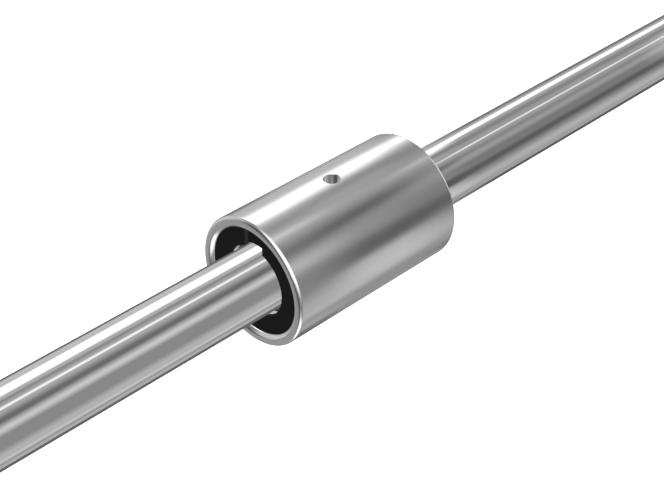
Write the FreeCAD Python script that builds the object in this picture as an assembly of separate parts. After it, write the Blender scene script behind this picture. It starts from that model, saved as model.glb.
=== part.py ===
import FreeCAD, Part
import math
import os

# A closed linear ball bushing on its shaft, in millimetres.
# The shaft runs along X. The origin is the middle of the bushing, on its axis, and +Z points up through the
# lubrication hole. The near end is the one towards -X.
# The radial sizes build up from the shaft: the ball space lies round it, then the sleeve's wall.

# Shaft
shaft_diameter = 6.0
shaft_length = 120.0
shaft_chamfer = 0.6

# Outer sleeve
ball_space = 2.0
sleeve_wall = 1.0
sleeve_length = 19.0
sleeve_edge_round = 0.35
mouth_chamfer = 0.25
lube_hole_diameter = 1.5

# Ring, shield and washer in each mouth, from the lip inwards
ring_recess = 0.4
ring_thickness = 0.4
ring_gap = 2.1
ring_groove_depth = 0.25
shield_thickness = 0.2
washer_thickness = 0.6

# Balls and their circuits
ball_diameter = 1.2
circuit_count = 4
turn_lift_angle = 11.0

# Cage and raceways
cage_mouth_chamfer = 0.2
channel_slot_width = 1.0
turn_wall = 0.3
land_width = 1.7
land_ramp = 0.5
raceway_depth = 0.12

# Clearances
ring_shaft_clearance = 0.27
shield_shaft_clearance = 0.4
washer_shaft_clearance = 0.3
cage_shaft_clearance = 0.35
running_clearance = 0.02
pocket_clearance = 0.03
smallest_ball_gap = 0.03
row_end_clearance = 0.43
fit_clearance = 0.05
groove_clearance = 0.02
cage_clearance = 0.1
wall_overlap = 0.2

# Radii, from the shaft outwards
shaft_radius = shaft_diameter / 2
bore_radius = shaft_radius + ball_space
sleeve_radius = bore_radius + sleeve_wall
insert_radius = bore_radius - fit_clearance
ball_radius = ball_diameter / 2
pocket_radius = ball_radius + pocket_clearance
loaded_radius = shaft_radius + running_clearance + ball_radius
return_radius = insert_radius - ball_radius
raceway_radius = loaded_radius + ball_radius + running_clearance
land_radius = raceway_radius - raceway_depth

# Places along the shaft, from the lip inwards
sleeve_end = sleeve_length / 2
ring_face = sleeve_end - ring_recess
shield_face = ring_face - ring_thickness
washer_face = shield_face - shield_thickness
cage_end = washer_face - washer_thickness

# Circuits: each loaded row has its return row halfway to the next loaded row
circuit_angle = 360.0 / circuit_count
row_spacing_angle = circuit_angle / 2
first_loaded_angle = row_spacing_angle / 2
row_spacing = math.sqrt(loaded_radius ** 2 + return_radius ** 2
                        - 2 * loaded_radius * return_radius * math.cos(math.radians(row_spacing_angle)))
turn_radius = row_spacing / 2
turn_lift = math.radians(turn_lift_angle)
turn_reach = turn_radius * math.cos(turn_lift) + pocket_radius
straight_end = cage_end - turn_wall - turn_reach
row_end = straight_end - row_end_clearance

# Balls: as many as fit, evenly spaced
smallest_pitch = ball_diameter + smallest_ball_gap
row_ball_count = int(2 * row_end / smallest_pitch) + 1
row_pitch = 2 * row_end / (row_ball_count - 1)
turn_path = math.pi * turn_radius + 2 * row_end_clearance
turn_ball_count = int(turn_path / smallest_pitch) - 1

AXIS = FreeCAD.Vector(1, 0, 0)
ORIGIN = FreeCAD.Vector(0, 0, 0)


def turned(profile):
    """A solid turned about X from a closed profile of (x, radius) points."""
    corners = [FreeCAD.Vector(x, 0, radius) for x, radius in profile]
    outline = Part.makePolygon(corners + corners[:1])
    return Part.Face(outline).revolve(ORIGIN, AXIS, 360)


def washer(inner_radius, outer_radius, start, end):
    """A plain ring about X between two places."""
    return turned([(start, inner_radius), (end, inner_radius), (end, outer_radius), (start, outer_radius)])


def polar(x, radius, angle):
    """A point from its place along X, its radius, and its angle from +Z towards +Y in degrees."""
    turn = math.radians(angle)
    return FreeCAD.Vector(x, radius * math.sin(turn), radius * math.cos(turn))


def rod(radius, start, end, centre_radius=0.0, angle=0.0):
    """A round bar along X, at a radius and angle from the axis."""
    base = polar(start, centre_radius, angle)
    return Part.makeCylinder(radius, end - start, base, AXIS)


def bar_at(width, inner_radius, outer_radius, start, end, angle):
    """A straight-sided bar along X that stands out from the axis at an angle."""
    corner = FreeCAD.Vector(start, -width / 2, inner_radius)
    bar = Part.makeBox(end - start, width, outer_radius - inner_radius, corner)
    bar.rotate(ORIGIN, AXIS, -angle)
    return bar


def mirrored(shape):
    """The same piece at the other end of the bushing."""
    return shape.mirror(ORIGIN, AXIS)


def loaded_angle(circuit):
    return first_loaded_angle + circuit * circuit_angle


def turn_frame(circuit):
    """The middle of a circuit's far turn, the way across it from row to row, and the way its top points."""
    angle = loaded_angle(circuit)
    first = polar(straight_end, loaded_radius, angle)
    last = polar(straight_end, return_radius, angle + row_spacing_angle)
    across = (last - first).normalize()
    outward = AXIS.cross(across)
    ahead = AXIS * math.cos(turn_lift) + outward * math.sin(turn_lift)
    return (first + last) / 2, across, ahead


def turn_point(circuit, sweep):
    """A ball's place in the far turn. The sweep goes from 0 at the loaded row to pi at the return row."""
    middle, across, ahead = turn_frame(circuit)
    return middle - across * turn_radius * math.cos(sweep) + ahead * turn_radius * math.sin(sweep)


def turn_cutters(circuit):
    """The half-round tunnel that lifts the balls off the shaft and over to the return row, and its slot."""
    middle, across, ahead = turn_frame(circuit)
    top = across.cross(ahead)
    mouth = Part.Face(Part.Wire([Part.Circle(middle - across * turn_radius, ahead, pocket_radius).toShape()]))
    tunnel = mouth.revolve(middle, top, -180)
    corner = middle - across * (turn_radius + channel_slot_width / 2)
    width = across * channel_slot_width
    section = Part.makePolygon([corner, corner + width, corner + width + top * sleeve_radius,
                                corner + top * sleeve_radius, corner])
    slot = Part.Face(section).revolve(middle, top, -180)
    return [tunnel, slot]


def make_shaft():
    end = shaft_length / 2
    shoulder = end - shaft_chamfer
    tip_radius = shaft_radius - shaft_chamfer
    return turned([(-end, 0), (-end, tip_radius), (-shoulder, shaft_radius), (shoulder, shaft_radius),
                   (end, tip_radius), (end, 0)])


def raceway_land(circuit):
    """A raised rib in the bore, ramped at its ends, with the groove that the loaded row runs in."""
    root = bore_radius + wall_overlap
    flat_end = straight_end - land_ramp
    ring = turned([(-straight_end, root), (-straight_end, bore_radius), (-flat_end, land_radius),
                   (flat_end, land_radius), (straight_end, bore_radius), (straight_end, root)])
    angle = loaded_angle(circuit)
    rib = ring.common(bar_at(land_width, 0, sleeve_radius, -straight_end, straight_end, angle))
    groove_centre = raceway_radius - pocket_radius
    return rib.cut(rod(pocket_radius, -straight_end, straight_end, groove_centre, angle))


def make_outer_sleeve():
    sleeve = rod(sleeve_radius, -sleeve_end, sleeve_end)
    rims = [edge for edge in sleeve.Edges if abs(edge.CenterOfMass.x) > sleeve_end / 2]
    sleeve = sleeve.makeFillet(sleeve_edge_round, rims)
    sleeve = sleeve.cut(rod(bore_radius, -sleeve_end, sleeve_end))
    groove_radius = bore_radius + ring_groove_depth
    mouth = turned([(sleeve_end, 0), (sleeve_end, bore_radius + mouth_chamfer),
                    (sleeve_end - mouth_chamfer, bore_radius), (sleeve_end - mouth_chamfer, 0)])
    groove = washer(shaft_radius, groove_radius, shield_face - groove_clearance, ring_face + groove_clearance)
    for cutter in (mouth, groove):
        sleeve = sleeve.cut(cutter)
        sleeve = sleeve.cut(mirrored(cutter))
    lands = [raceway_land(circuit) for circuit in range(circuit_count)]
    sleeve = sleeve.fuse(lands)
    lube_hole = Part.makeCylinder(lube_hole_diameter / 2, sleeve_radius)
    return sleeve.cut(lube_hole).removeSplitter()


def make_retaining_ring():
    """A split ring that springs into its groove, with the gap at the top."""
    outer_radius = bore_radius + ring_groove_depth - fit_clearance
    ring = washer(shaft_radius + ring_shaft_clearance, outer_radius, shield_face, ring_face)
    return ring.cut(bar_at(ring_gap, 0, sleeve_radius, shield_face, ring_face, 0))


def make_shield():
    return washer(shaft_radius + shield_shaft_clearance, insert_radius, washer_face, shield_face)


def make_end_washer():
    return washer(shaft_radius + washer_shaft_clearance, insert_radius, cage_end, washer_face)


def make_cage():
    """A tube with a closed channel for each circuit and a groove that passes over each raceway land."""
    radius = shaft_radius + cage_shaft_clearance
    mouth_radius = radius + cage_mouth_chamfer
    shoulder = cage_end - cage_mouth_chamfer
    cage = turned([(-cage_end, mouth_radius), (-shoulder, radius), (shoulder, radius), (cage_end, mouth_radius),
                   (cage_end, insert_radius), (-cage_end, insert_radius)])
    land_floor = land_radius - cage_clearance
    channel_end = row_end + pocket_radius
    groove_width = land_width + 2 * cage_clearance
    for circuit in range(circuit_count):
        angle = loaded_angle(circuit)
        return_angle = angle + row_spacing_angle
        cutters = [bar_at(groove_width, land_floor, sleeve_radius, -cage_end, cage_end, angle),
                   rod(pocket_radius, -channel_end, channel_end, loaded_radius, angle),
                   rod(pocket_radius, -channel_end, channel_end, return_radius, return_angle),
                   bar_at(channel_slot_width, return_radius, sleeve_radius, -straight_end, straight_end,
                          return_angle)]
        for cutter in turn_cutters(circuit):
            cutters += [cutter, mirrored(cutter)]
        for cutter in cutters:
            cage = cage.cut(cutter)
    return cage


def ball(centre):
    return Part.makeSphere(ball_radius, centre)


def row_places():
    """Where the balls of a straight row lie along X."""
    return [-row_end + row_pitch * number for number in range(row_ball_count)]


def turn_balls(circuit):
    """The balls in the far turn, evenly spaced between the last balls of the two rows."""
    step = turn_path / (turn_ball_count + 1) / turn_radius
    middle = (turn_ball_count - 1) / 2
    sweeps = [math.pi / 2 + (number - middle) * step for number in range(turn_ball_count)]
    return [ball(turn_point(circuit, sweep)) for sweep in sweeps]


def make_return_balls(circuit):
    angle = loaded_angle(circuit) + row_spacing_angle
    row = [ball(polar(x, return_radius, angle)) for x in row_places()]
    far_turn = turn_balls(circuit)
    near_turn = [mirrored(shape) for shape in far_turn]
    return Part.makeCompound(row + far_turn + near_turn)


def save(name, shape):
    shape.exportStep("parts/" + name + ".step")
    print(name, "solids", len(shape.Solids), "valid", shape.isValid(), "volume", round(shape.Volume, 4))


os.makedirs("parts", exist_ok=True)
save("shaft", make_shaft())
save("outer_sleeve", make_outer_sleeve())
save("cage", make_cage())
end_pieces = {"end_washer": make_end_washer(), "shield": make_shield(),
              "retaining_ring": make_retaining_ring()}
for piece, shape in end_pieces.items():
    save(piece + "_far", shape)
    save(piece + "_near", mirrored(shape))
for circuit in range(circuit_count):
    for number, x in enumerate(row_places(), start=1):
        place = polar(x, loaded_radius, loaded_angle(circuit))
        save("loaded_ball_%d_%d" % (circuit + 1, number), ball(place))
    save("return_balls_%d" % (circuit + 1), make_return_balls(circuit))
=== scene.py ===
import math

import bmesh
import bpy
from bpy.props import FloatProperty, FloatVectorProperty, IntProperty, PointerProperty
from mathutils import Matrix, Vector


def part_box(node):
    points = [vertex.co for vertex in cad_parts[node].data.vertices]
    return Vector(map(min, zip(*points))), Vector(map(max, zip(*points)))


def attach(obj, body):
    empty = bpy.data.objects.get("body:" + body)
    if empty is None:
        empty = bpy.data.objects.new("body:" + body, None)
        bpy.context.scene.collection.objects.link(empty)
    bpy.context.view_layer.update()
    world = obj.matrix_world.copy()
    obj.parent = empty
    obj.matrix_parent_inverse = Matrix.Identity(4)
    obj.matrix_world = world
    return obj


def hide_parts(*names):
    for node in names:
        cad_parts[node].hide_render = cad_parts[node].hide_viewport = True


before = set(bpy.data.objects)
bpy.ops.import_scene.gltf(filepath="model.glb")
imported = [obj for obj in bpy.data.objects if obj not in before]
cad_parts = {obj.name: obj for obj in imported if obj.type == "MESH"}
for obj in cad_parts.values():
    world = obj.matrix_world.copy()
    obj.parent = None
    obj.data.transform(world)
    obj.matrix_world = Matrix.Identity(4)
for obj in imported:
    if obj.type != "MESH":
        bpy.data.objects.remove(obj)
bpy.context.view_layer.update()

# The looks of a linear ball bushing on its shaft, in metres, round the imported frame.
# The shaft runs along X and the lubrication hole points up, as in the frame. The near end is towards -X.

bl_info = {
    "name": "Linear ball bushing",
    "version": (1, 0, 0),
    "blender": (4, 5, 0),
    "location": "View3D > Sidebar > Bushing",
    "description": "Turns, rounds and finishes the sleeve, shaft, rings and washers of a linear ball bushing",
    "category": "Add Mesh",
}

MM = 0.001
ENDS = ("near", "far")
CIRCUITS = ("1", "2", "3", "4")

# Meshing: how near counts as touching, from which angle an edge stays sharp, and how finely corners and small
# round shapes are divided.
TOUCHING = 0.001 * MM
SHARP_ANGLE = math.radians(28)
ROUND_SEGMENTS = 6
GROOVE_TURNING_STEPS = 48
HOLE_TURNING_STEPS = 96
EDGE_BREAK_SEGMENTS = 2

# The cuts across the sleeve's long faces near its hole: how many on each side of it, and how far apart, as a
# share of the hole's radius
HOLE_CUTS = 3
HOLE_CUT_SPACING = 0.6

# Rooms inside the sleeve, as in the solids: beside and round a retaining ring in its groove, under and beside
# a loaded ball in its raceway, and from the last ball of a row to the end of its land.
GROOVE_SIDE_ROOM = 0.02 * MM
GROOVE_RING_ROOM = 0.05 * MM
RACEWAY_ROOM = 0.02 * MM
POCKET_ROOM = 0.03 * MM
LAND_PAST_ROW = 0.06 * MM

# How round the corners of a chamfer are, as a share of the chamfer
MOUTH_SOFTNESS = 0.3
SHAFT_END_SOFTNESS = 0.15


# Places and sizes read from the frame

def far_corner(node):
    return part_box(node)[1]


def outer_radius(node):
    """A turned piece reaches its full radius straight down, where nothing is cut out of it."""
    return -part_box(node)[0].z


def span(node):
    """Where a piece starts and ends along the shaft."""
    low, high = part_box(node)
    return low.x, high.x


SLEEVE_RADIUS = outer_radius("outer_sleeve")
SLEEVE_END = far_corner("outer_sleeve").x
SHAFT_RADIUS = outer_radius("shaft")
SHAFT_END = far_corner("shaft").x


class BushingSettings(bpy.types.PropertyGroup):
    sleeve_round: FloatProperty(
        name="Sleeve edge round", description="Rounding of the sleeve's outer end edges",
        default=0.30 * MM, min=0.05 * MM, max=1.0 * MM, unit="LENGTH")
    bore_radius: FloatProperty(
        name="Bore radius", description="Radius of the sleeve's bore at its ends",
        default=5.0 * MM, min=3.5 * MM, max=5.7 * MM, unit="LENGTH")
    mouth_chamfer: FloatProperty(
        name="Mouth chamfer", description="Chamfer where the bore opens into the lip",
        default=0.25 * MM, min=0.0, max=0.6 * MM, unit="LENGTH")
    lube_radius: FloatProperty(
        name="Lubrication hole radius", description="Radius of the hole through the top of the sleeve",
        default=0.75 * MM, min=0.3 * MM, max=1.5 * MM, unit="LENGTH")
    lube_rim: FloatProperty(
        name="Lubrication hole rim", description="Width of the broken edge round the hole",
        default=0.05 * MM, min=0.0, max=0.3 * MM, unit="LENGTH")
    land_width: FloatProperty(
        name="Raceway land width", description="Width of the ribs in the bore that the loaded balls run on",
        default=1.7 * MM, min=1.0 * MM, max=2.5 * MM, unit="LENGTH")
    land_ramp: FloatProperty(
        name="Raceway land ramp", description="Length of the slope at each end of a raceway land",
        default=0.5 * MM, min=0.1 * MM, max=1.5 * MM, unit="LENGTH")
    raceway_depth: FloatProperty(
        name="Raceway depth", description="Depth of the round groove in a raceway land",
        default=0.12 * MM, min=0.05 * MM, max=0.2 * MM, unit="LENGTH")
    shaft_chamfer: FloatProperty(
        name="Shaft chamfer", description="Chamfer of the shaft's end edges",
        default=0.6 * MM, min=0.1 * MM, max=2.0 * MM, unit="LENGTH")
    ring_bore: FloatProperty(
        name="Ring bore radius", description="Inner radius of the retaining rings",
        default=3.27 * MM, min=3.05 * MM, max=4.5 * MM, unit="LENGTH")
    ring_gap: FloatProperty(
        name="Ring gap", description="Width of the gap in each retaining ring",
        default=2.1 * MM, min=0.5 * MM, max=4.0 * MM, unit="LENGTH")
    shield_bore: FloatProperty(
        name="Shield bore radius", description="Inner radius of the shields",
        default=3.4 * MM, min=3.05 * MM, max=4.5 * MM, unit="LENGTH")
    washer_bore: FloatProperty(
        name="Washer bore radius", description="Inner radius of the bright end washers",
        default=3.42 * MM, min=3.05 * MM, max=4.5 * MM, unit="LENGTH")
    edge_break: FloatProperty(
        name="Edge break", description="Rounding of the thin washers' edges",
        default=0.03 * MM, min=0.0, max=0.08 * MM, unit="LENGTH")
    turning_steps: IntProperty(
        name="Turning steps", description="Faces round a turned piece", default=192, min=48, max=384)
    sleeve_colour: FloatVectorProperty(
        name="Sleeve steel", description="Colour of the ground sleeve", subtype="COLOR",
        default=(0.57, 0.57, 0.57), min=0.0, max=1.0)
    shaft_colour: FloatVectorProperty(
        name="Shaft steel", description="Colour of the polished shaft", subtype="COLOR",
        default=(0.66, 0.66, 0.66), min=0.0, max=1.0)
    washer_colour: FloatVectorProperty(
        name="Washer and ball steel", description="Colour of the bright washers and balls", subtype="COLOR",
        default=(0.78, 0.78, 0.78), min=0.0, max=1.0)
    # Painted light: the ring gap's end faces are coloured lighter to stand in for the light that falls on
    # them.
    gap_wall_painted_light_colour: FloatVectorProperty(
        name="Ring gap painted light", description="Colour of the retaining rings' gap end faces, lighter as painted light", subtype="COLOR",
        default=(0.018, 0.018, 0.018), min=0.0, max=1.0)
    black_colour: FloatVectorProperty(
        name="Black parts", description="Colour of the rings, shields and cage", subtype="COLOR",
        default=(0.006, 0.006, 0.006), min=0.0, max=1.0)


def settings():
    return bpy.context.scene.bushing


# Shapes

def new_piece(name, builder, body=None):
    """A smooth object from a finished bmesh, riding on its body. Only real corners stay sharp.

    As in the photograph, the part's reflections show the studio and not the part's other pieces.
    """
    bmesh.ops.remove_doubles(builder, verts=builder.verts, dist=TOUCHING / 10)
    bmesh.ops.recalc_face_normals(builder, faces=builder.faces)
    mesh = bpy.data.meshes.new(name)
    builder.to_mesh(mesh)
    builder.free()
    piece = bpy.data.objects.new(name, mesh)
    bpy.context.scene.collection.objects.link(piece)
    smooth(mesh)
    if body:
        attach(piece, body)
        piece.visible_glossy = False
        piece.visible_diffuse = False
    return piece


def finish_piece(piece, material):
    piece.data.materials.clear()
    piece.data.materials.append(material)


def smooth(mesh):
    mesh.shade_smooth()
    mesh.set_sharp_from_angle(angle=SHARP_ANGLE)


def turned(outline, rounds=None, steps=None):
    """A bmesh spun about X from a closed outline of (x, radius) corners.

    rounds gives the radius for each corner, by its number, that is rounded before the spin.
    """
    builder = bmesh.new()
    corners = [builder.verts.new((x, 0.0, radius)) for x, radius in outline]
    builder.faces.new(corners)
    for number, radius in (rounds or {}).items():
        bmesh.ops.bevel(builder, geom=[corners[number]], affect="VERTICES", offset=radius,
                        offset_type="OFFSET", segments=ROUND_SEGMENTS, profile=0.5, material=-1)
    builder.faces.ensure_lookup_table()
    bmesh.ops.delete(builder, geom=list(builder.faces), context="FACES_ONLY")
    on_axis = [edge for edge in builder.edges if all(vert.co.z < TOUCHING for vert in edge.verts)]
    bmesh.ops.delete(builder, geom=on_axis, context="EDGES")
    bmesh.ops.spin(builder, geom=list(builder.verts) + list(builder.edges), cent=(0, 0, 0), axis=(1, 0, 0),
                   dvec=(0, 0, 0), angle=math.tau, steps=steps or settings().turning_steps, use_merge=True)
    return builder


def copied(*nodes):
    """A bmesh of CAD nodes as they stand, for pieces that need no other shape than that."""
    builder = bmesh.new()
    for node in nodes:
        builder.from_mesh(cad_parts[node].data)
    return builder


def box_builder(low, high):
    """A bmesh box between two corners."""
    builder = bmesh.new()
    bmesh.ops.create_cube(builder, size=1.0)
    size = Vector(high) - Vector(low)
    middle = (Vector(high) + Vector(low)) / 2
    bmesh.ops.scale(builder, vec=size, verts=builder.verts)
    bmesh.ops.translate(builder, vec=middle, verts=builder.verts)
    return builder


def cut_away(piece, cutter):
    combine(piece, cutter, "DIFFERENCE")


def combine(piece, other, operation):
    """Takes one object's shape out of another, joins it on, or keeps what both hold, for good."""
    modifier = piece.modifiers.new("combine", "BOOLEAN")
    modifier.operation = operation
    modifier.solver = "EXACT"
    modifier.object = other
    depsgraph = bpy.context.evaluated_depsgraph_get()
    result = bpy.data.meshes.new_from_object(piece.evaluated_get(depsgraph))
    piece.modifiers.remove(modifier)
    old = piece.data
    piece.data = result
    result.name = piece.name
    bpy.data.meshes.remove(old)
    bpy.data.objects.remove(other)
    smooth(piece.data)


def washer_outline(start, end, inner, outer):
    return [(start, inner), (end, inner), (end, outer), (start, outer)]


# Materials

# A Mix node's colour sockets, by number because its sockets for other kinds of data share their names
MIX_FIRST = 6
MIX_SECOND = 7
MIX_RESULT = 2

# How fine the patterns are, in waves to the metre along X, Y and Z
GRINDING_LINES = (26000.0, 120.0, 120.0)
GROUND_CLOUDS = (90.0, 220.0, 220.0)
BRIGHT_CLOUDS = (900.0, 900.0, 900.0)
FLOOR_PATCHES = (3.0, 3.0, 3.0)

GRINDING_LINE_DEPTH = 0.00001 * MM

# The range that most of a pattern's noise lies in
NOISE_LOW = 0.3
NOISE_HIGH = 0.7


def new_material(name):
    """A material with its shader and the Object coordinates that its patterns read."""
    material = bpy.data.materials.new(name)
    material.use_nodes = True
    nodes = material.node_tree.nodes
    shader = nodes["Principled BSDF"]
    place = nodes.new("ShaderNodeTexCoord").outputs["Object"]
    return material, shader, place


def add_node(material, kind, links=None, **values):
    """A node with its inputs linked. The values are for settings or inputs, where _ stands for a space."""
    node = material.node_tree.nodes.new(kind)
    for key, value in values.items():
        if hasattr(node, key):
            setattr(node, key, value)
        else:
            node.inputs[key.replace("_", " ")].default_value = value
    for key, source in (links or {}).items():
        material.node_tree.links.new(source, node.inputs[key])
    return node


def noise(material, place, fineness, detail):
    """A pattern over the piece, as fine as the waves to the metre that are given for each axis."""
    scaled = add_node(material, "ShaderNodeMapping", {"Vector": place}, Scale=fineness)
    node = add_node(material, "ShaderNodeTexNoise", {"Vector": scaled.outputs["Vector"]}, Scale=1.0,
                    Detail=detail, Roughness=0.55)
    return node.outputs["Fac"]


def ranged(material, source, low, high, start=0.0, end=1.0):
    """The source, spread from one range to another."""
    node = add_node(material, "ShaderNodeMapRange", {"Value": source}, From_Min=start, From_Max=end,
                    To_Min=low, To_Max=high)
    return node.outputs["Result"]


def coloured(material, shader, source, colour, spread):
    """Gives the shader the colour, a little darker and lighter with the source."""
    node = add_node(material, "ShaderNodeMix", {"Factor": source}, data_type="RGBA")
    darker = [channel * (1 - spread) for channel in colour]
    lighter = [min(1.0, channel * (1 + spread)) for channel in colour]
    node.inputs[MIX_FIRST].default_value = (*darker, 1)
    node.inputs[MIX_SECOND].default_value = (*lighter, 1)
    material.node_tree.links.new(node.outputs[MIX_RESULT], shader.inputs["Base Color"])


def roughened(material, shader, source, low, high):
    """Gives the shader a roughness that goes from low to high with the source."""
    roughness = ranged(material, source, low, high, NOISE_LOW, NOISE_HIGH)
    material.node_tree.links.new(roughness, shader.inputs["Roughness"])


def bumped(material, shader, height, distance):
    node = add_node(material, "ShaderNodeBump", {"Height": height}, Strength=1.0, Distance=distance)
    material.node_tree.links.new(node.outputs["Normal"], shader.inputs["Normal"])


def ground_steel(name, colour, low_rough, high_rough):
    """Steel ground round and round: fine lines across the shaft's length, with faint clouding."""
    material, shader, place = new_material(name)
    lines = noise(material, place, GRINDING_LINES, detail=3.0)
    clouds = noise(material, place, GROUND_CLOUDS, detail=5.0)
    shader.inputs["Metallic"].default_value = 1.0
    coloured(material, shader, clouds, colour, spread=0.04)
    roughened(material, shader, lines, low_rough, high_rough)
    bumped(material, shader, lines, GRINDING_LINE_DEPTH)
    return material


def bright_steel(name, colour, roughness):
    """Lapped or turned steel, faintly clouded."""
    material, shader, place = new_material(name)
    clouds = noise(material, place, BRIGHT_CLOUDS, detail=3.0)
    shader.inputs["Metallic"].default_value = 1.0
    coloured(material, shader, clouds, colour, spread=0.05)
    roughened(material, shader, clouds, roughness * 0.7, roughness * 1.4)
    return material


def satin_black(name, colour, roughness, specular, grain, grain_depth):
    """A black surface with a fine even grain."""
    material, shader, place = new_material(name)
    speckle = noise(material, place, (grain, grain, grain), detail=2.0)
    shader.inputs["Specular IOR Level"].default_value = specular
    coloured(material, shader, speckle, colour, spread=0.15)
    roughened(material, shader, speckle, roughness * 0.85, roughness * 1.1)
    bumped(material, shader, speckle, grain_depth)
    return material


def nodes_named(start):
    return sorted(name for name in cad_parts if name.startswith(start))


# Operators, one for each piece or group of like pieces

class BUSHING_OT_outer_sleeve(bpy.types.Operator):
    """Turn the ground steel sleeve, with its mouths, ring grooves, raceways and lubrication hole"""
    bl_idname = "bushing.outer_sleeve"
    bl_label = "Outer sleeve"

    def execute(self, context):
        s = settings()
        outline = [(-SLEEVE_END, SLEEVE_RADIUS), (SLEEVE_END, SLEEVE_RADIUS)]
        outline += self.bore_side(s)
        outline += [(-x, radius) for x, radius in reversed(self.bore_side(s))]
        last = len(outline) - 1
        rounds = {number: s.mouth_chamfer * MOUTH_SOFTNESS for number in (2, 3, last - 1, last)}
        rounds.update({0: s.sleeve_round, 1: s.sleeve_round})
        builder = turned(outline, rounds)
        self.divide_round_hole(s, builder)
        sleeve = new_piece("sleeve_body", builder, "bushing")
        for circuit in CIRCUITS:
            combine(sleeve, self.raceway_land(s, circuit), "UNION")
        cut_away(sleeve, self.hole_cutter(s))
        material = ground_steel("ground sleeve steel", s.sleeve_colour, low_rough=0.22, high_rough=0.225)
        finish_piece(sleeve, material)
        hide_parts("outer_sleeve")
        return {"FINISHED"}

    def bore_side(self, s):
        """The corners from the far lip to the bore, with the groove that the retaining ring springs into."""
        end, mouth, bore = SLEEVE_END, s.mouth_chamfer, s.bore_radius
        ring_start, ring_end = span("retaining_ring_far")
        groove_start, groove_end = ring_start - GROOVE_SIDE_ROOM, ring_end + GROOVE_SIDE_ROOM
        groove_radius = outer_radius("retaining_ring_far") + GROOVE_RING_ROOM
        return [(end, bore + mouth), (end - mouth, bore), (groove_end, bore), (groove_end, groove_radius),
                (groove_start, groove_radius), (groove_start, bore)]

    def raceway_land(self, s, circuit):
        """A rib in the bore, ramped at its ends, with the raceway that the circuit's loaded balls run in."""
        row = nodes_named("loaded_ball_" + circuit + "_")
        low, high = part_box(row[0])
        ball = (low + high) / 2
        ball_radius = (high.x - low.x) / 2
        raceway_radius = math.hypot(ball.y, ball.z) + ball_radius + RACEWAY_ROOM
        turn = Matrix.Rotation(math.atan2(-ball.y, ball.z), 3, "X")
        end = max(far_corner(name).x for name in row) + LAND_PAST_ROW
        land = self.land_ring(s, end, raceway_radius - s.raceway_depth)
        combine(land, self.land_bar(s, end, turn), "INTERSECT")
        cut_away(land, self.raceway_rod(end, ball_radius + POCKET_ROOM, raceway_radius, turn))
        return land

    def land_ring(self, s, end, top):
        """A ring in the bore, rooted in the wall and ramped at its ends."""
        root = (s.bore_radius + SLEEVE_RADIUS) / 2
        flat_end = end - s.land_ramp
        outline = [(-end, root), (-end, s.bore_radius), (-flat_end, top), (flat_end, top),
                   (end, s.bore_radius), (end, root)]
        return new_piece("raceway_land", turned(outline))

    def land_bar(self, s, end, turn):
        """The bar of the ring that the land keeps."""
        bar = box_builder((-2 * end, -s.land_width / 2, 0), (2 * end, s.land_width / 2, SLEEVE_RADIUS))
        bmesh.ops.rotate(bar, cent=(0, 0, 0), matrix=turn, verts=bar.verts)
        return new_piece("land_bar", bar)

    def raceway_rod(self, end, radius, raceway_radius, turn):
        """The rod that cuts the raceway. Its outer side lies where the raceway is deepest."""
        outline = [(-2 * end, 0), (-2 * end, radius), (2 * end, radius), (2 * end, 0)]
        rod = turned(outline, steps=GROOVE_TURNING_STEPS)
        bmesh.ops.translate(rod, vec=(0, 0, raceway_radius - radius), verts=rod.verts)
        bmesh.ops.rotate(rod, cent=(0, 0, 0), matrix=turn, verts=rod.verts)
        return new_piece("raceway_rod", rod)

    def divide_round_hole(self, s, builder):
        """Cuts the sleeve's long faces into short ones near the hole, so that they stay smooth round it."""
        spacing = s.lube_radius * HOLE_CUT_SPACING
        for step in range(-HOLE_CUTS, HOLE_CUTS + 1):
            everything = list(builder.verts) + list(builder.edges) + list(builder.faces)
            bmesh.ops.bisect_plane(builder, geom=everything, plane_co=(step * spacing, 0, 0),
                                   plane_no=(1, 0, 0))

    def hole_cutter(self, s):
        """A drill that flares at 45 degrees where it leaves the sleeve, which breaks the hole's edge."""
        flare_start = SLEEVE_RADIUS - s.lube_rim
        top = SLEEVE_RADIUS + 2 * s.lube_rim
        outline = [(SHAFT_RADIUS, 0), (SHAFT_RADIUS, s.lube_radius), (flare_start, s.lube_radius),
                   (top, s.lube_radius + top - flare_start), (top, 0)]
        builder = turned(outline, steps=HOLE_TURNING_STEPS)
        turn_up = Vector((1, 0, 0)).rotation_difference(Vector((0, 0, 1))).to_matrix()
        bmesh.ops.rotate(builder, cent=(0, 0, 0), matrix=turn_up, verts=builder.verts)
        return new_piece("hole_cutter", builder)


class BUSHING_OT_shaft(bpy.types.Operator):
    """Turn the polished round shaft with its chamfered ends"""
    bl_idname = "bushing.shaft"
    bl_label = "Shaft"

    def execute(self, context):
        s = settings()
        end, chamfer = SHAFT_END, s.shaft_chamfer
        outline = [(-end, 0), (-end, SHAFT_RADIUS - chamfer), (-end + chamfer, SHAFT_RADIUS),
                   (end - chamfer, SHAFT_RADIUS), (end, SHAFT_RADIUS - chamfer), (end, 0)]
        builder = turned(outline, {number: chamfer * SHAFT_END_SOFTNESS for number in range(1, 5)})
        shaft = new_piece("shaft_bar", builder, "shaft")
        material = ground_steel("polished shaft steel", s.shaft_colour, low_rough=0.045, high_rough=0.055)
        finish_piece(shaft, material)
        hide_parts("shaft")
        return {"FINISHED"}


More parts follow.
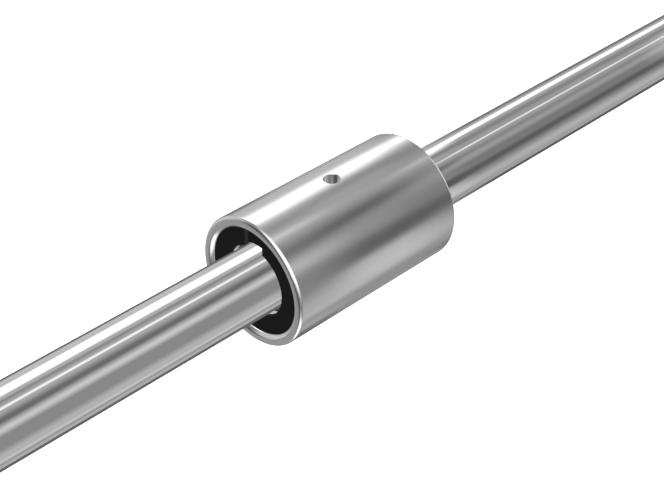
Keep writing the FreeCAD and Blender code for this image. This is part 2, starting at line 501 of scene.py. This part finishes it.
class BUSHING_OT_retaining_rings(bpy.types.Operator):
    """Turn the two black split rings and cut the gap at the top of each"""
    bl_idname = "bushing.retaining_rings"
    bl_label = "Retaining rings"

    def execute(self, context):
        s = settings()
        material = satin_black("blackened spring steel", s.black_colour, roughness=0.5, specular=0.04,
                               grain=6000.0, grain_depth=0.0004 * MM)
        # Painted light: a lighter black for the gap's end faces, in place of the light that they catch.
        gap_wall_painted_light = satin_black("spring steel, painted light on gap walls", s.gap_wall_painted_light_colour, roughness=0.5, specular=0.1,
                                grain=6000.0, grain_depth=0.0004 * MM)
        for side in ENDS:
            node = "retaining_ring_" + side
            start, end = span(node)
            outline = washer_outline(start, end, s.ring_bore, outer_radius(node))
            ring = new_piece("split_ring_" + side, turned(outline), "bushing")
            low = (start - MM, -s.ring_gap / 2, 0)
            high = (end + MM, s.ring_gap / 2, SLEEVE_RADIUS)
            cut_away(ring, new_piece("gap_cutter", box_builder(low, high)))
            soften = ring.modifiers.new("edge break", "BEVEL")
            soften.width = s.edge_break
            soften.segments = EDGE_BREAK_SEGMENTS
            soften.limit_method = "ANGLE"
            finish_piece(ring, material)
            self.paint_light_on_gap_walls(ring, s.ring_gap / 2, gap_wall_painted_light)
            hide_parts(node)
        return {"FINISHED"}

    def paint_light_on_gap_walls(self, ring, half_gap, material):
        """The two end faces at the gap get a lighter colour than the coated faces: painted light for the
        light they catch.
        """
        ring.data.materials.append(material)
        for face in ring.data.polygons:
            sides = [abs(ring.data.vertices[number].co.y) for number in face.vertices]
            if all(abs(side - half_gap) < TOUCHING for side in sides):
                face.material_index = 1


class BUSHING_OT_shields(bpy.types.Operator):
    """Turn the two black shields behind the retaining rings"""
    bl_idname = "bushing.shields"
    bl_label = "Shields"

    def execute(self, context):
        s = settings()
        material = satin_black("black shield plastic", s.black_colour, roughness=0.6, specular=0.04,
                               grain=4000.0, grain_depth=0.0006 * MM)
        for side in ENDS:
            node = "shield_" + side
            outline = washer_outline(*span(node), s.shield_bore, outer_radius(node))
            builder = turned(outline, {number: s.edge_break for number in range(4)})
            shield = new_piece("shield_disc_" + side, builder, "bushing")
            finish_piece(shield, material)
            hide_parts(node)
        return {"FINISHED"}


class BUSHING_OT_end_washers(bpy.types.Operator):
    """Turn the two bright washers that close the cage's ends"""
    bl_idname = "bushing.end_washers"
    bl_label = "End washers"

    def execute(self, context):
        s = settings()
        material = bright_steel("bright washer steel", s.washer_colour, roughness=0.18)
        for side in ENDS:
            node = "end_washer_" + side
            outline = washer_outline(*span(node), s.washer_bore, outer_radius(node))
            builder = turned(outline, {number: s.edge_break for number in range(4)})
            washer = new_piece("bright_washer_" + side, builder, "bushing")
            finish_piece(washer, material)
            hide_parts(node)
        return {"FINISHED"}


class BUSHING_OT_cage(bpy.types.Operator):
    """Smooth and finish the moulded cage, with its channels for the balls"""
    bl_idname = "bushing.cage"
    bl_label = "Cage"

    def execute(self, context):
        cage = new_piece("moulded_cage", copied("cage"), "bushing")
        material = satin_black("black cage moulding", settings().black_colour, roughness=0.45, specular=0.3,
                               grain=3000.0, grain_depth=0.0008 * MM)
        finish_piece(cage, material)
        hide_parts("cage")
        return {"FINISHED"}


class BUSHING_OT_balls(bpy.types.Operator):
    """Smooth and finish the lapped balls of every loaded row and every return run"""
    bl_idname = "bushing.balls"
    bl_label = "Balls"

    def execute(self, context):
        material = bright_steel("lapped ball steel", settings().washer_colour, roughness=0.06)
        for circuit in CIRCUITS:
            row = nodes_named("loaded_ball_" + circuit + "_")
            run = ["return_balls_" + circuit]
            for name, nodes in (("loaded_row_", row), ("return_run_", run)):
                balls = new_piece(name + circuit, copied(*nodes), "bushing")
                finish_piece(balls, material)
                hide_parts(*nodes)
        return {"FINISHED"}


class BUSHING_OT_studio(bpy.types.Operator):
    """Set up the pale floor, the light tent with its boxes and cards, and the camera"""
    bl_idname = "bushing.studio"
    bl_label = "Studio"

    def execute(self, context):
        make_floor()
        make_light_tent()
        make_world()
        make_camera()
        bpy.context.scene.view_settings.view_transform = "Standard"
        return {"FINISHED"}


# Stage

# The camera's place in sleeve radii, and its lens and film in millimetres
CAMERA_PLACE = (-13.071, -13.079, 12.856)
CAMERA_LENS = 84.18
CAMERA_FILM = 36.0

# The nearest and farthest that the camera sees
CAMERA_NEAREST = 0.01
CAMERA_FARTHEST = 50.0

FLOOR_HEIGHT = -0.62
FLOOR_SIZE = 12.0
FLOOR_COLOUR = (0.9, 0.9, 0.9)
WORLD_LIGHT = 0.5

TENT_RADIUS = 0.60
TENT_HALF_LENGTH = 2.4
TENT_TURNING_STEPS = 96

# What hangs in each zone of the tent, from the near end to the far one: the angles where a panel starts and
# ends, in degrees from straight up towards +Y, and its glow. 1 is white. Between panels it changes evenly.
MOUTH_PANELS = {
    "low card": (-178, -148, 0.15),
    "camera side gap": (-138, -112, 0.30),
    "front soft box": (-82, 0, 2.00),
    "dark backdrop": (25, 172, 0.12),
}
FRONT_PANELS = {
    "low front soft box": (-178, -148, 2.00),
    "camera side gap": (-138, -112, 0.32),
    "front soft box": (-82, 0, 2.00),
    "upper gap": (28, 44, 0.35),
    "upper cloth": (62, 116, 0.95),
    "backdrop cloth": (127, 155, 0.52),
}
NEAR_PANELS = {
    "ground cloth": (-171, -165, 0.60),
    "low gap": (-159, -157, 0.42),
    "low strip": (-148, -146, 0.84),
    "low cloth": (-140, -127, 0.66),
    "camera side cloth": (-107, -75, 0.37),
    "side strip": (-61, -56, 0.85),
    "dark card": (-39, -31, 0.22),
    "upper cloth": (-15, -10, 0.58),
    "thin strip": (-7, -4, 1.40),
    "strip shade": (1, 5, 0.55),
    "upper gap": (13, 15, 0.36),
    "upper side cloth": (21, 28, 0.63),
    "overhead soft box": (37, 54, 2.40),
    "far cloth": (65, 90, 0.73),
    "dark backdrop": (101, 170, 0.17),
}
MIDDLE_PANELS = {
    "ground cloth": (-178, -160, 0.42),
    "low strip": (-149, -144, 0.88),
    "low cloth": (-138, -111, 0.97),
    "camera side card": (-100, -82, 0.11),
    "camera side cloth": (-70, -43, 0.39),
    "dark card": (-34, -29, 0.05),
    "upper cloth": (-14, 2, 0.50),
    "upper side cloth": (8, 14, 0.66),
    "upper gap": (20, 30, 0.38),
    "overhead soft box": (45, 61, 2.40),
    "far cloth": (70, 95, 0.72),
    "backdrop cloth": (107, 122, 0.43),
    "low backdrop": (150, 172, 0.40),
}
FAR_PANELS = {
    "ground cloth": (-173, -157, 0.49),
    "low cloth": (-145, -131, 0.62),
    "dark card": (-95, -85, 0.16),
    "camera side cloth": (-75, -58, 0.28),
    "side cloth": (-45, -39, 0.47),
    "upper gap": (-28, -26, 0.35),
    "upper cloth": (-14, -9, 0.50),
    "thin strip": (-6, -5, 1.40),
    "upper side cloth": (-1, 9, 0.48),
    "side gap": (20, 27, 0.34),
    "soft box edge": (40, 45, 0.55),
    "overhead soft box": (57, 61, 2.20),
    "far cloth": (74, 78, 0.62),
    "backdrop": (95, 130, 0.235),
    "low backdrop": (150, 171, 0.13),
}
END_PANELS = {
    "low cloth": (-170, -95, 0.38),
    "end soft box": (-60, -10, 1.80),
    "upper cloth": (30, 170, 0.45),
}

# Where the tent changes over to each zone from the one before it. From the first place along the shaft to the
# second, the glow changes evenly.
TENT_CHANGES = (
    (FRONT_PANELS, -0.62, -0.46),
    (NEAR_PANELS, -0.02, 0.12),
    (MIDDLE_PANELS, 0.37, 0.40),
    (FAR_PANELS, 0.50, 0.56),
    (END_PANELS, 0.80, 1.10),
)


def make_floor():
    builder = bmesh.new()
    bmesh.ops.create_grid(builder, x_segments=1, y_segments=1, size=FLOOR_SIZE / 2)
    bmesh.ops.translate(builder, vec=(0, 0, FLOOR_HEIGHT), verts=builder.verts)
    floor = new_piece("pale_floor", builder)
    material, shader, place = new_material("pale floor")
    shader.inputs["Roughness"].default_value = 0.9
    shader.inputs["Specular IOR Level"].default_value = 0.0
    patches = noise(material, place, FLOOR_PATCHES, detail=4.0)
    coloured(material, shader, patches, FLOOR_COLOUR, spread=0.01)
    shader.inputs["Emission Color"].default_value = (1, 1, 1, 1)
    material.node_tree.links.new(seen_directly(material), shader.inputs["Emission Strength"])
    finish_piece(floor, material)


def seen_directly(material):
    """1 for what the camera sees, also in a mirror or through glass, and 0 for scattered light."""
    rays = material.node_tree.nodes.new("ShaderNodeLightPath").outputs
    both = add_node(material, "ShaderNodeMath", operation="MAXIMUM")
    material.node_tree.links.new(rays["Is Camera Ray"], both.inputs[0])
    material.node_tree.links.new(rays["Is Glossy Ray"], both.inputs[1])
    most = add_node(material, "ShaderNodeMath", operation="MAXIMUM")
    material.node_tree.links.new(both.outputs[0], most.inputs[0])
    material.node_tree.links.new(rays["Is Transmission Ray"], most.inputs[1])
    return most.outputs[0]


def make_light_tent():
    """A round tent along the shaft, lit all over: soft boxes, pale cloth and dark cards as bands along it."""
    builder = bmesh.new()
    ends = [builder.verts.new((x, 0, TENT_RADIUS)) for x in (-TENT_HALF_LENGTH, TENT_HALF_LENGTH)]
    builder.edges.new(ends)
    bmesh.ops.spin(builder, geom=list(builder.verts) + list(builder.edges), cent=(0, 0, 0), axis=(1, 0, 0),
                   dvec=(0, 0, 0), angle=math.tau, steps=TENT_TURNING_STEPS, use_merge=True)
    tent = new_piece("light_tent", builder)
    tent.visible_camera = False
    tent.visible_shadow = False
    finish_piece(tent, lit_cloth())


def lit_cloth():
    """The tent's cloth, which glows by its angle round the shaft and its place along it."""
    material = bpy.data.materials.new("lit tent cloth")
    material.use_nodes = True
    tree = material.node_tree
    tree.nodes.remove(tree.nodes["Principled BSDF"])
    place = tree.nodes.new("ShaderNodeTexCoord").outputs["Object"]
    axes = add_node(material, "ShaderNodeSeparateXYZ", {"Vector": place})
    angle = add_node(material, "ShaderNodeMath", operation="ARCTAN2")
    tree.links.new(axes.outputs["Y"], angle.inputs[0])
    tree.links.new(axes.outputs["Z"], angle.inputs[1])
    turn = ranged(material, angle.outputs[0], 0.0, 1.0, -math.pi, math.pi)
    glow = panel_glow(material, turn, MOUTH_PANELS)
    for panels, start, end in TENT_CHANGES:
        way_along = ranged(material, axes.outputs["X"], 0.0, 1.0, start, end)
        both = add_node(material, "ShaderNodeMix", {"Factor": way_along}, data_type="RGBA")
        tree.links.new(glow, both.inputs[MIX_FIRST])
        tree.links.new(panel_glow(material, turn, panels), both.inputs[MIX_SECOND])
        glow = both.outputs[MIX_RESULT]
    light = add_node(material, "ShaderNodeEmission", {"Color": glow})
    tree.links.new(light.outputs["Emission"], tree.nodes["Material Output"].inputs["Surface"])
    return material


def panel_glow(material, turn, panels):
    """The glow round the tent: two stops for each panel, with even changes between them.

    The ramp starts at -180 degrees and ends at 180.
    """
    node = add_node(material, "ShaderNodeValToRGB", {"Fac": turn})
    stops = node.color_ramp.elements
    stops.remove(stops[-1])
    spare = stops[0]
    for start, end, glow in panels.values():
        for angle in (start, end):
            stops.new(angle / 360 + 0.5).color = (glow, glow, glow, 1)
    stops.remove(spare)
    return node.outputs["Color"]


def make_world():
    """A world that looks white and lights more weakly than that."""
    world = bpy.data.worlds.new("white studio")
    bpy.context.scene.world = world
    world.use_nodes = True
    back = world.node_tree.nodes["Background"]
    back.inputs["Color"].default_value = (1, 1, 1, 1)
    strength = ranged(world, seen_directly(world), WORLD_LIGHT, 1.0)
    world.node_tree.links.new(strength, back.inputs["Strength"])


def make_camera():
    """The photograph's view: along the diagonal of a cube, 45 degrees round and 35.26 degrees down."""
    camera = bpy.data.objects.new("camera", bpy.data.cameras.new("camera"))
    bpy.context.scene.collection.objects.link(camera)
    camera.data.lens = CAMERA_LENS
    camera.data.sensor_width = CAMERA_FILM
    camera.data.clip_start = CAMERA_NEAREST
    camera.data.clip_end = CAMERA_FARTHEST
    camera.location = Vector(CAMERA_PLACE) * SLEEVE_RADIUS
    away = Vector((1, 1, -1)).normalized()
    camera.rotation_mode = "QUATERNION"
    camera.rotation_quaternion = away.to_track_quat("-Z", "Y")
    bpy.context.scene.camera = camera


class BUSHING_PT_panel(bpy.types.Panel):
    """Lists the bushing's settings and the operators that make its pieces"""
    bl_idname = "BUSHING_PT_panel"
    bl_label = "Linear ball bushing"
    bl_space_type = "VIEW_3D"
    bl_region_type = "UI"
    bl_category = "Bushing"

    def draw(self, context):
        for name in BushingSettings.__annotations__:
            self.layout.prop(context.scene.bushing, name)
        for operator in OPERATORS:
            self.layout.operator(operator.bl_idname)


OPERATORS = (
    BUSHING_OT_outer_sleeve,
    BUSHING_OT_shaft,
    BUSHING_OT_retaining_rings,
    BUSHING_OT_shields,
    BUSHING_OT_end_washers,
    BUSHING_OT_cage,
    BUSHING_OT_balls,
    BUSHING_OT_studio,
)
CLASSES = (BushingSettings, *OPERATORS, BUSHING_PT_panel)


def register():
    for each in CLASSES:
        bpy.utils.register_class(each)
    bpy.types.Scene.bushing = PointerProperty(type=BushingSettings)


def unregister():
    del bpy.types.Scene.bushing
    for each in reversed(CLASSES):
        bpy.utils.unregister_class(each)


def main():
    register()
    bpy.ops.bushing.outer_sleeve()
    bpy.ops.bushing.shaft()
    bpy.ops.bushing.retaining_rings()
    bpy.ops.bushing.shields()
    bpy.ops.bushing.end_washers()
    bpy.ops.bushing.cage()
    bpy.ops.bushing.balls()
    bpy.ops.bushing.studio()


if __name__ == "__main__":
    main()
